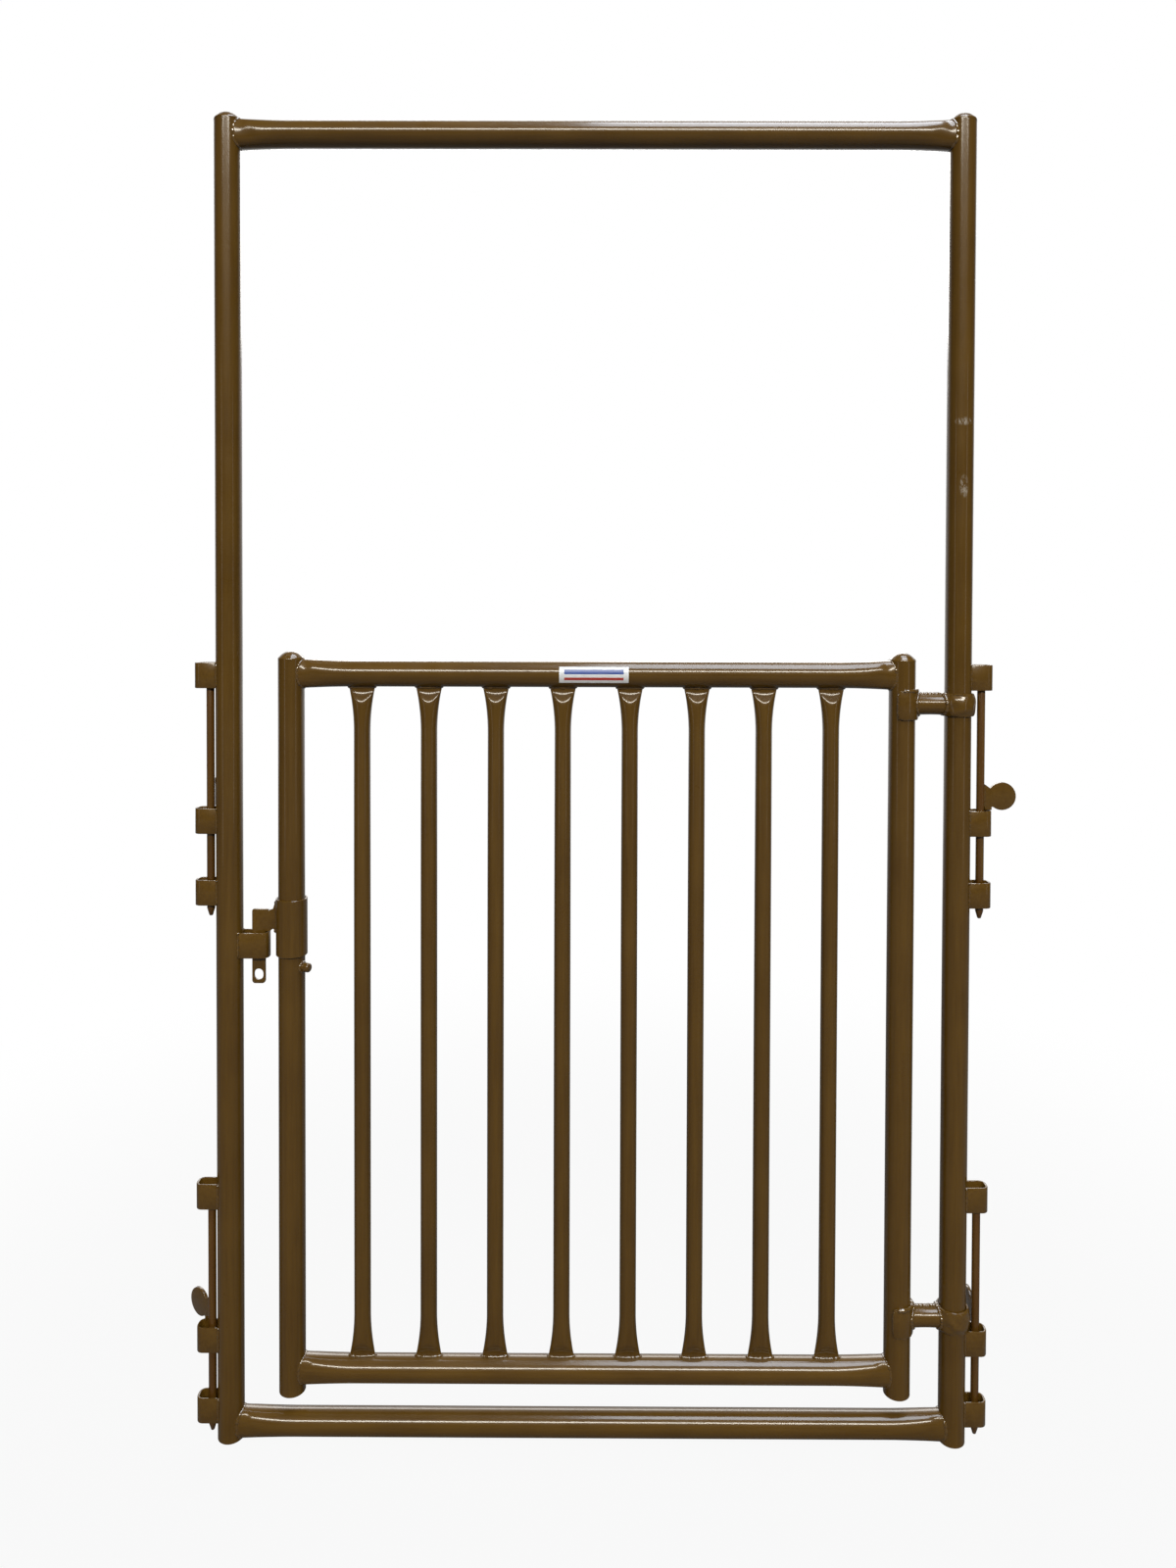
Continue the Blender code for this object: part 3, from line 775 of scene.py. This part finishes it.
def picket(node_name, beads):
    """A tube with flattened, flared ends, the beads round them and a blob at each corner."""
    low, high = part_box(node_name)
    x = centre_of(node_name).x
    shares = [(k / PICKET_END_STEPS) ** PICKET_STEP_POWER for k in range(PICKET_END_STEPS + 1)]
    near = [PICKET_RUN * share for share in shares]
    stations = [(low.z + away, away) for away in near] + [(high.z - away, away) for away in reversed(near)]
    skins = []
    for inset in (0.0, PICKET_WALL):
        rings = []
        for z, away in stations:
            ring = []
            for angle in turns(PICKET_SIDES):
                wide, deep = picket_section(away, angle)
                across = (wide - inset) * math.cos(angle)
                ring.append(Vector((x + across, (deep - inset) * math.sin(angle), z)))
            rings.append(ring)
        skins.append(rings)
    tube = pipe("fine_" + node_name, skins[0], skins[1])
    settle(tube, "gate", "gate_coat", upright_coat, node_name)
    for ring in (skins[0][0], skins[0][-1]):
        beads.add(ring, PICKET_BEAD, PICKET_PITCH, closed=True)
    inner, inner_sink = PICKET_CORNER_INNER
    outer, outer_sink = PICKET_CORNER_OUTER
    for z, rise in ((low.z, 1), (high.z, -1)):
        for sign in (-1, 1):
            edge = x + sign * PICKET_END_WIDTH / 2
            inside = (edge - sign * inner, 0.0, z - rise * inner_sink)
            outside = (edge + sign * outer, 0.0, z - rise * outer_sink)
            beads.add([inside, outside], PICKET_CORNER_BEAD, PICKET_CORNER_PITCH)


# Hinges


def collar(node_name):
    """The eye on the post: a barrel, broken at its ends and hammered uneven at its front."""
    low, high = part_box(node_name)
    middle = centre_of(node_name)
    outer = radius_of(node_name)
    bore = POST_RADIUS + COLLAR_CLEARANCE
    profile = [(bore, low.z + COLLAR_BREAK), (bore + COLLAR_BREAK, low.z)]
    for k in range(COLLAR_STEPS + 1):
        share = 2 * k / COLLAR_STEPS - 1
        height = middle.z + share * (high.z - low.z - 2 * COLLAR_END) / 2
        at_end = k in (0, COLLAR_STEPS)
        profile.append((outer - COLLAR_SWELL * share**2 - COLLAR_BREAK * at_end, height))
    profile += [(bore + COLLAR_BREAK, high.z), (bore, high.z - COLLAR_BREAK)]
    dents = bumpy(COLLAR_BUMP, COLLAR_BUMP_SIZE)

    def hammered(out, z):
        if min(z - low.z, high.z - z) < COLLAR_EVEN_END:
            return 0.0
        return (dents(out, z) - COLLAR_BUMP_SINK) * max(0.0, -out.y)

    return lathe("fine_" + node_name, middle, profile, steps=COLLAR_SIDES, closed=True, bumps=hammered)


def arm_skins(half, z, saddle_outer, collar_outer):
    """Rings of the short tube from the saddle to the collar, coped to both and faintly waisted."""
    skins = []
    for inset in (0.0, ARM_WALL):
        rings = []
        for k in range(ARM_STEPS + 1):
            share = k / ARM_STEPS
            ring = []
            for angle in turns(TUBE_SIDES):
                y = (half - inset) * math.cos(angle)
                up = (half - inset) * math.sin(angle)
                start = HINGE_STILE_X + math.sqrt(saddle_outer**2 - y**2)
                bulge = collar_outer - COLLAR_SWELL * (up / half) ** 2
                end = -math.sqrt(bulge**2 - y**2)
                waist = 1 - ARM_WAIST * math.sin(math.pi * share)
                ring.append(Vector((start + (end - start) * share, y * waist, z + up * waist)))
            rings.append(ring)
        skins.append(rings)
    return skins


def hinge(level, beads):
    """A collar on the post, a saddle on the stile, the arm between them and their weld beads."""
    collar_node = level + "_hinge_collar"
    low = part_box(collar_node)[0]
    settle(collar(collar_node), "gate", "gate_coat", pressed_coat, collar_node)

    saddle_node = level + "_hinge_saddle"
    settle(softened(saddle_node, PLATE_ROUNDING), "gate", "gate_coat", plate_coat, saddle_node)
    saddle_low, saddle_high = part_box(saddle_node)
    saddle_outer = saddle_high.x - HINGE_STILE_X

    arm_node = level + "_hinge_arm"
    arm_low, arm_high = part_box(arm_node)
    half = (arm_high.z - arm_low.z) / 2
    skins = arm_skins(half, centre_of(collar_node).z, saddle_outer, radius_of(collar_node))
    tube = pipe("fine_" + arm_node, skins[0], skins[1])
    settle(tube, "gate", "gate_coat", level_coat, arm_node)

    beads.add(skins[0][0], ROPE_BEAD, ARM_BEAD_PITCH, closed=True)
    eye_end = [Vector((p.x, p.y, max(p.z, low.z + ROPE_BEAD))) for p in skins[0][-1]]
    beads.add(eye_end, ROPE_BEAD, ARM_BEAD_PITCH, closed=True)
    top = [ring[TUBE_SIDES // 4] for ring in skins[0]]
    beads.add(top, ROPE_BEAD, ARM_TOP_BEAD_PITCH)
    reach = (POST_RADIUS + saddle_outer) / 2
    for z, size in ((saddle_high.z, SADDLE_TOP_BEAD), (saddle_low.z, FINE_BEAD)):
        arc = []
        for k in range(SADDLE_BEAD_STEPS + 1):
            degrees = -SADDLE_BEAD_DEGREES + 2 * SADDLE_BEAD_DEGREES * k / SADDLE_BEAD_STEPS
            angle = math.radians(degrees)
            arc.append((HINGE_STILE_X + reach * math.cos(angle), reach * math.sin(angle), z))
        beads.add(arc, size, SADDLE_PITCH_SHARE * size)
    for sign in (-1, 1):
        angle = SADDLE_END_ANGLE * sign
        x = HINGE_STILE_X + SADDLE_END_REACH * math.cos(angle)
        y = SADDLE_END_REACH * math.sin(angle)
        line = [(x, y, saddle_low.z + SADDLE_END_INSET), (x, y, saddle_high.z - SADDLE_END_INSET)]
        beads.add(line, FINE_BEAD, SADDLE_END_PITCH)


# Strap loops and keeper


def strap(node_name, side, post_x, beads):
    """A bent strap and the beads down the roots of its two legs."""
    low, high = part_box(node_name)
    settle(softened(node_name, STRAP_ROUNDING), "bow_frame", "frame_coat", plate_coat, node_name)
    half = (high.y - low.y) / 2
    x = post_x + side * (math.sqrt(POST_RADIUS**2 - half**2) + STRAP_BEAD_LIFT)
    for sign in (-1, 1):
        y = sign * (half + STRAP_BEAD_LIFT)
        line = [(x, y, low.z + STRAP_BEAD_INSET), (x, y, high.z - STRAP_BEAD_INSET)]
        beads.add(line, FINE_BEAD, STRAP_PITCH)
        blob = [(x, y, high.z - STRAP_BLOB_BELOW), (x, y, high.z + STRAP_BLOB_ABOVE)]
        beads.add(blob, STRAP_BLOB, STRAP_BLOB_PITCH)


# Drop pins


def drop_pin(place):
    """A rod with a tapered point, its thumb paddle and the two beads between them."""
    rod_node = place + "_pin"
    low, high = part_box(rod_node)
    middle = centre_of(rod_node)
    radius = radius_of(rod_node)
    profile = [
        (0.0, low.z),
        (PIN_TIP_RADIUS - PIN_TIP_BREAK, low.z),
        (PIN_TIP_RADIUS, low.z + PIN_TIP_BREAK),
        (radius - PIN_SHOULDER_STEP, low.z + PIN_TAPER - PIN_SHOULDER_RUN),
        (radius, low.z + PIN_TAPER),
        (radius, high.z - PIN_HEAD_ROUNDING),
        (radius - PIN_HEAD_CORNER, high.z - PIN_HEAD_CORNER),
        (radius - PIN_HEAD_ROUNDING, high.z),
        (0.0, high.z),
    ]
    rod = lathe("fine_" + rod_node, middle, profile, steps=PIN_SIDES)
    settle(rod, place + "_drop_pin", "pin_coat", pin_coat, rod_node)

    paddle_node = place + "_paddle"
    paddle = softened(paddle_node, PLATE_ROUNDING, segments=3)
    settle(paddle, place + "_pin_paddle", "pin_coat", plate_coat, paddle_node)
    paddle_low, paddle_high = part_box(paddle_node)
    centre = centre_of(paddle_node)
    outward = Vector((centre.x - middle.x, centre.y - middle.y, 0)).normalized()
    across = Vector((-outward.y, outward.x, 0))
    bead_low = Vector((0, 0, paddle_low.z + PADDLE_BEAD_START))
    bead_high = Vector((0, 0, paddle_high.z - PADDLE_BEAD_END))
    beads = Beads(place + "_paddle_weld", place)
    for sign in (-1, 1):
        root = Vector((middle.x, middle.y, 0)) + outward * (radius - PADDLE_BEAD_SINK)
        root += across * sign * PADDLE_BEAD_SIDE
        beads.add([root + bead_low, root + bead_high], FINE_BEAD, PADDLE_PITCH)
    beads.piece(place + "_pin_paddle", "pin_coat", bead_coat)


# Latch


def make_stud():
    """The stop stud: a cut rod with a waisted neck at its weld and a rounded head."""
    low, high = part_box("latch_stop_stud")
    radius = (high.z - low.z) / 2
    centre = Vector((LATCH_STILE_X, 0, (low.z + high.z) / 2))
    away = Vector((math.cos(STUD_ANGLE), math.sin(STUD_ANGLE), 0))
    side = Vector((-away.y, away.x, 0))
    head_edge = radius * 2 / 3 * abs(away.y)
    reach = (high.x - LATCH_STILE_X - head_edge) / away.x
    start = POST_RADIUS * STUD_START_SHARE
    profile = [
        (start, radius * STUD_ROOT_SHARE),
        (start + STUD_NECK_END, radius * STUD_NECK_SHARE),
        (start + STUD_SHANK_START, radius),
    ]
    for k in range(STUD_HEAD_STEPS + 1):
        lean = math.pi / 2 * k / STUD_HEAD_STEPS
        out = reach - radius * STUD_HEAD_SHARE * (1 - math.sin(lean))
        profile.append((out, radius * (1 - STUD_HEAD_SHARE + STUD_HEAD_SHARE * math.cos(lean))))
    points = [centre + away * start]
    for out, size in profile:
        for angle in turns(STUD_SIDES):
            spot = away * out + side * size * math.cos(angle) + Vector((0, 0, size * math.sin(angle)))
            points.append(centre + spot)
    points.append(centre + away * reach)
    faces = skin_faces(len(profile), STUD_SIDES, start=1)
    end = 1 + (len(profile) - 1) * STUD_SIDES
    for i in range(STUD_SIDES):
        j = (i + 1) % STUD_SIDES
        faces.append((0, 1 + j, 1 + i))
        faces.append((len(points) - 1, end + i, end + j))
    stud = mesh_piece("fine_latch_stop_stud", points, faces)
    settle(stud, "gate", "gate_coat", pressed_coat, "latch_stop_stud")


def make_sleeve():
    """The sleeve that slides on the stile, and its hook plate."""
    low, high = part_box("latch_sleeve")
    outer = radius_of("latch_sleeve")
    inner = POST_RADIUS + SLEEVE_CLEARANCE
    profile = [
        (inner, low.z + SLEEVE_RIM),
        (inner + SLEEVE_RIM, low.z),
        (outer - SLEEVE_RIM, low.z),
        (outer, low.z + SLEEVE_RIM),
        (outer, high.z - SLEEVE_RIM),
        (outer - SLEEVE_RIM, high.z),
        (inner + SLEEVE_RIM, high.z),
        (inner, high.z - SLEEVE_RIM),
    ]
    sleeve = lathe("fine_latch_sleeve", centre_of("latch_sleeve"), profile, closed=True)
    settle(sleeve, "latch", "latch_coat", upright_coat, "latch_sleeve")
    plate = softened("latch_tongue", PLATE_ROUNDING)
    settle(plate, "latch", "latch_coat", plate_coat, "latch_tongue")


def weld_sleeve():
    """The beads down both sides of the hook plate, with a fillet at its top and bottom."""
    low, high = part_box("latch_sleeve")
    beads = Beads("latch_weld", "latch")
    x = centre_of("latch_sleeve").x - radius_of("latch_sleeve") - LATCH_BEAD_LIFT
    for y in (-LATCH_BEAD_SIDE, LATCH_BEAD_SIDE):
        line = [(x, y, low.z + LATCH_BEAD_START), (x, y, high.z - LATCH_BEAD_END)]
        beads.add(line, FINE_BEAD, LATCH_PITCH)
    top = Vector((x, 0, high.z - LATCH_TOP_DROP))
    beads.add([top + step for step in LATCH_TOP_FILLET], LATCH_TOP_BEAD, LATCH_FILLET_PITCH)
    bottom = Vector((x, 0, low.z + LATCH_BOTTOM_RISE))
    beads.add([bottom + step for step in LATCH_BOTTOM_FILLET], ROPE_BEAD, LATCH_FILLET_PITCH)
    beads.piece("latch", "latch_coat", bead_coat)


def weld_stud(beads):
    """The bead round the stud's root, which follows the stile's round face."""
    stud = centre_of("latch_stop_stud")
    away = Vector((stud.x - LATCH_STILE_X, stud.y, 0)).normalized()
    side = Vector((-away.y, away.x, 0))
    ring = []
    for angle in turns(STUD_WELD_STEPS):
        lift = Vector((0, 0, STUD_BEAD_RADIUS * math.sin(angle)))
        sideways = STUD_BEAD_RADIUS * math.cos(angle)
        depth = math.sqrt(POST_RADIUS**2 - sideways**2)
        ring.append(Vector((LATCH_STILE_X, 0, stud.z)) + away * depth + side * sideways + lift)
    beads.add(ring, STUD_BEAD, STUD_PITCH, closed=True)


# Label


def film_patch(name, left, right, low_angle, high_angle, lift, material):
    """A thin film on the front of the top rail, between two heights given as angles above the front."""
    z = centre_of("gate_top_rail").z
    columns, rows = LABEL_COLUMNS, LABEL_ROWS
    points = []
    for depth in (lift + FILM, lift):
        for k in range(rows + 1):
            angle = low_angle + (high_angle - low_angle) * k / rows
            reach = POST_RADIUS + depth
            for i in range(columns + 1):
                x = left + (right - left) * i / columns
                points.append(Vector((x, -reach * math.cos(angle), z + reach * math.sin(angle))))
    wide = columns + 1
    layer = wide * (rows + 1)
    faces = []
    for k in range(rows):
        for i in range(columns):
            a = k * wide + i
            faces.append((a, a + 1, a + 1 + wide, a + wide))
            faces.append((layer + a, layer + a + wide, layer + a + 1 + wide, layer + a + 1))
    rim = list(range(columns))
    rim += [k * wide + columns for k in range(rows)]
    rim += [rows * wide + columns - i for i in range(columns)]
    rim += [(rows - k) * wide for k in range(rows)]
    for a, b in zip(rim, rim[1:] + rim[:1]):
        faces.append((a, b, layer + b, layer + a))
    patch = mesh_piece(name, points, faces)
    settle(patch, "gate", "gate_coat", material)


def make_label():
    """A plain film in white with two bars of colour, without any lettering."""
    left = LABEL_CENTRE - LABEL_WIDTH / 2
    right = LABEL_CENTRE + LABEL_WIDTH / 2
    white = film_ink("label_white", LABEL_WHITE)
    blue = film_ink("label_blue", LABEL_BLUE)
    red = film_ink("label_red", LABEL_RED)
    half = LABEL_HALF_ANGLE
    film_patch("label_film", left, right, -half, half, LABEL_LIFT, white)
    left += BAR_INSET
    right -= BAR_INSET
    for name, (low, high), ink in (
        ("label_upper_bar", UPPER_BAR, blue),
        ("label_lower_bar", LOWER_BAR, red),
    ):
        film_patch(name, left, right, half * low, half * high, BAR_LIFT, ink)


# Studio


def between(tree, value, start, end, low=0.0, high=1.0):
    """Runs softly from low to high while the value goes from start to end."""
    made = new_node(tree, "ShaderNodeMapRange")
    made.interpolation_type = "SMOOTHSTEP"
    made.inputs["From Min"].default_value = start
    made.inputs["From Max"].default_value = end
    made.inputs["To Min"].default_value = low
    made.inputs["To Max"].default_value = high
    tree.links.new(value, made.inputs["Value"])
    return made.outputs[0]


def y_of(tree, coords):
    parts = new_node(tree, "ShaderNodeSeparateXYZ")
    tree.links.new(coords, parts.inputs[0])
    return parts.outputs["Y"]


def white_where(tree, direct, reflected, shader, white, surface):
    """Puts plain white over a shader, by one share for the camera and one for gloss and glass."""
    seen = new_node(tree, "ShaderNodeLightPath")
    gloss, glass = seen.outputs["Is Glossy Ray"], seen.outputs["Is Transmission Ray"]
    gloss_or_glass = combined(tree, "MAXIMUM", gloss, glass)
    in_gloss = combined(tree, "MULTIPLY", gloss_or_glass, reflected)
    to_camera = combined(tree, "MULTIPLY", seen.outputs["Is Camera Ray"], direct)
    mix = new_node(tree, "ShaderNodeMixShader")
    tree.links.new(combined(tree, "MAXIMUM", to_camera, in_gloss), mix.inputs["Fac"])
    tree.links.new(shader.outputs[0], mix.inputs[1])
    tree.links.new(white.outputs[0], mix.inputs[2])
    tree.links.new(mix.outputs[0], surface)


def make_floor():
    """A pale disc that takes the gate's soft shadow near it and runs out into plain white."""
    bpy.ops.mesh.primitive_circle_add(
        vertices=FLOOR_SIDES, radius=FLOOR_RADIUS, fill_type="NGON", location=(LATCH_POST_X / 2, 0, 0)
    )
    floor = bpy.context.object
    floor.name = "studio_floor"
    material, tree, shader, coords = new_material("studio_floor")
    shader.inputs["Base Color"].default_value = (FLOOR_ALBEDO, FLOOR_ALBEDO, FLOOR_ALBEDO, 1)
    shader.inputs["Roughness"].default_value = FLOOR_ROUGHNESS
    shader.inputs["Specular IOR Level"].default_value = 0.0
    white = new_node(tree, "ShaderNodeEmission", Color=WHITE, Strength=1.0)
    direct = between(tree, length_of(tree, coords), FLOOR_SHADE_START, FLOOR_SHADE_END, FLOOR_GLOW)
    reflected = between(tree, y_of(tree, coords), FLOOR_GLOSS_START, FLOOR_GLOSS_END)
    surface = tree.nodes["Material Output"].inputs["Surface"]
    white_where(tree, direct, reflected, shader, white, surface)
    floor.data.materials.append(material)


def make_world():
    """A white backdrop behind the gate and a dim room in front of it, plain white where the camera looks."""
    world = bpy.data.worlds.new("studio")
    bpy.context.scene.world = world
    world.use_nodes = True
    tree = world.node_tree
    tree.nodes.clear()
    depth = y_of(tree, new_node(tree, "ShaderNodeTexCoord").outputs["Generated"])
    room = new_node(tree, "ShaderNodeBackground", Color=ROOM_COLOUR)
    level = between(tree, depth, BACKDROP_START, BACKDROP_END, ROOM_LEVEL, BACKDROP_LEVEL)
    tree.links.new(level, room.inputs["Strength"])
    white = new_node(tree, "ShaderNodeBackground", Color=WHITE, Strength=1.0)
    behind = between(tree, depth, BACKDROP_START, BACKDROP_END)
    out = new_node(tree, "ShaderNodeOutputWorld")
    white_where(tree, 1.0, behind, room, white, out.inputs["Surface"])


def soft_light(name, place, target, size, power, colour):
    lamp = bpy.data.lights.new(name, "AREA")
    lamp.shape = "RECTANGLE"
    lamp.size, lamp.size_y = size
    lamp.energy = power
    lamp.color = colour
    obj = bpy.data.objects.new(name, lamp)
    obj.location = place
    obj.rotation_euler = (Vector(target) - Vector(place)).to_track_quat("-Z", "Y").to_euler()
    bpy.context.scene.collection.objects.link(obj)


def make_lights():
    """A long strip high in front, a cool window overhead, a dim panel behind and faint side strips."""
    middle = LATCH_POST_X / 2
    gate = (middle, 0.0, 1.0)
    soft_light("front_strip", (middle, -12.0, 8.6), gate, size=(13.0, 1.7), power=1850, colour=WARM_LIGHT)
    window, below = (0.8, -1.5, 8.0), (0.8, -1.5, 0.0)
    soft_light("overhead_window", window, below, size=(2.8, 6.0), power=540, colour=COOL_LIGHT)
    soft_light("back_panel", (middle, 6.0, 4.2), gate, size=(6.0, 2.0), power=240, colour=PLAIN_LIGHT)
    beside, strip = 2.7, (0.25, 2.2)
    for name, x in (("left_strip", middle - beside), ("right_strip", middle + beside)):
        soft_light(name, (x, -2.4, 1.3), (middle, 0.0, 1.1), size=strip, power=2.5, colour=PLAIN_LIGHT)


def make_camera():
    """The photograph's camera as the fit gave it: its place, its turn, its lens and the picture's shift."""
    camera = bpy.data.cameras.new("camera")
    camera.sensor_width = SENSOR
    camera.lens = FOCAL_PIXELS * SENSOR / PHOTO_HEIGHT
    camera.shift_y = (HORIZON_PIXEL - PHOTO_HEIGHT / 2) / PHOTO_HEIGHT
    forward = Vector((
        math.sin(CAMERA_YAW) * math.cos(CAMERA_PITCH),
        math.cos(CAMERA_YAW) * math.cos(CAMERA_PITCH),
        -math.sin(CAMERA_PITCH),
    ))
    level = Vector((math.cos(CAMERA_YAW), -math.sin(CAMERA_YAW), 0))
    above = level.cross(forward)
    right = level * math.cos(CAMERA_ROLL) + above * math.sin(CAMERA_ROLL)
    up = above * math.cos(CAMERA_ROLL) - level * math.sin(CAMERA_ROLL)
    turn = Matrix((right, up, -forward)).transposed().to_4x4()
    obj = bpy.data.objects.new("camera", camera)
    obj.matrix_world = Matrix.Translation(CAMERA_PLACE) @ turn
    bpy.context.scene.collection.objects.link(obj)
    bpy.context.scene.camera = obj


# Build


make_camera()
frame_beads = Beads("frame_welds", "frame")
gate_beads = Beads("gate_welds", "gate")
make_uprights()
for name, pitch, bead in (("header_rail", HEADER_PITCH, HEADER_BEAD), ("sill_rail", SILL_PITCH, SILL_BEAD)):
    rail(name, "bow_frame", "frame_coat", LATCH_POST_X, HINGE_POST_X, frame_beads, pitch, bead)
for name in ("gate_top_rail", "gate_bottom_rail"):
    rail(name, "gate", "gate_coat", LATCH_STILE_X, HINGE_STILE_X, gate_beads)
for number in range(1, 9):
    picket(f"picket_{number}", gate_beads)
for level in ("upper", "lower"):
    hinge(level, gate_beads)
    for spot in ("bottom", "middle", "top"):
        strap(f"latch_side_{level}_{spot}_loop", -1, LATCH_POST_X, frame_beads)
        strap(f"hinge_side_{level}_{spot}_loop", 1, HINGE_POST_X, frame_beads)
    drop_pin("latch_side_" + level)
    drop_pin("hinge_side_" + level)
strap("latch_keeper", 1, LATCH_POST_X, frame_beads)
make_sleeve()
make_stud()
weld_sleeve()
weld_stud(gate_beads)
make_label()
frame_beads.piece("bow_frame", "frame_coat", bead_coat)
gate_beads.piece("gate", "gate_coat", bead_coat)
make_floor()
make_world()
make_lights()
bpy.context.scene.view_settings.view_transform = "Standard"
